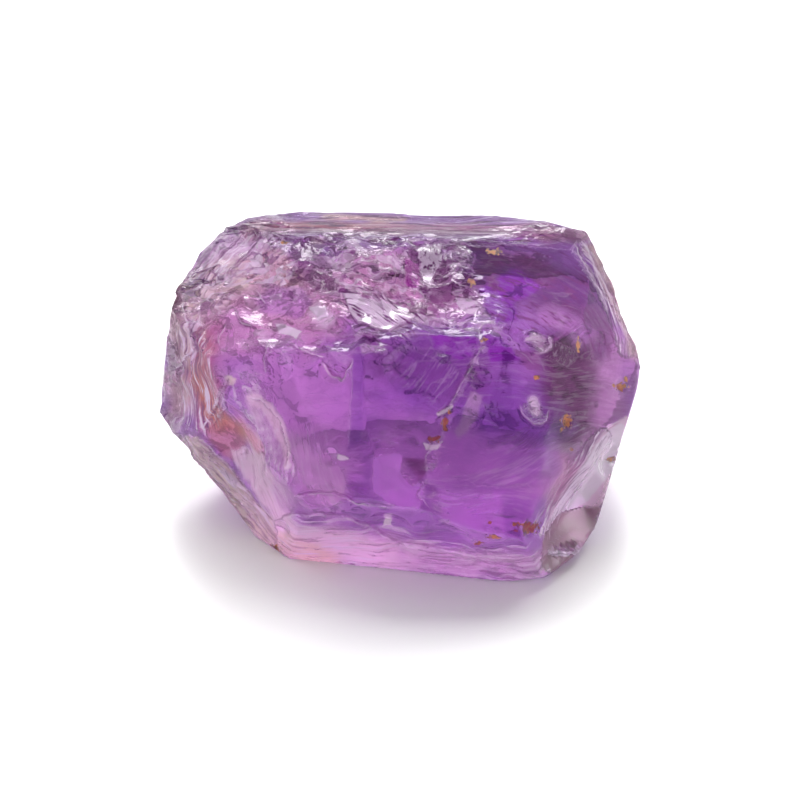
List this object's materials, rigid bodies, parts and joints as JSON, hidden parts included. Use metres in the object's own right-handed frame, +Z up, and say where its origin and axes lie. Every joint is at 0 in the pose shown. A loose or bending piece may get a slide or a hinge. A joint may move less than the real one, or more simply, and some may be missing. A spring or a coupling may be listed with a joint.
{
  "type": "rough amethyst",
  "caption": "Rough piece of purple quartz with a smooth glassy front, a chipped shoulder, curved flake scars and a flat foot to rest on.",
  "frame": {"origin": "on the floor under the middle of the stone's bounding box", "axes": "+Z up, +X along the stone's long side with the smooth broad front facing -Y"},
  "size_m": [0.0491, 0.0341, 0.0261],
  "materials": {
    "amethyst": "see-through purple quartz, glassy on the front, matt where it is broken"
  },
  "bodies": {
    "root": {"rough_amethyst": "amethyst"}
  },
  "joints": []
}
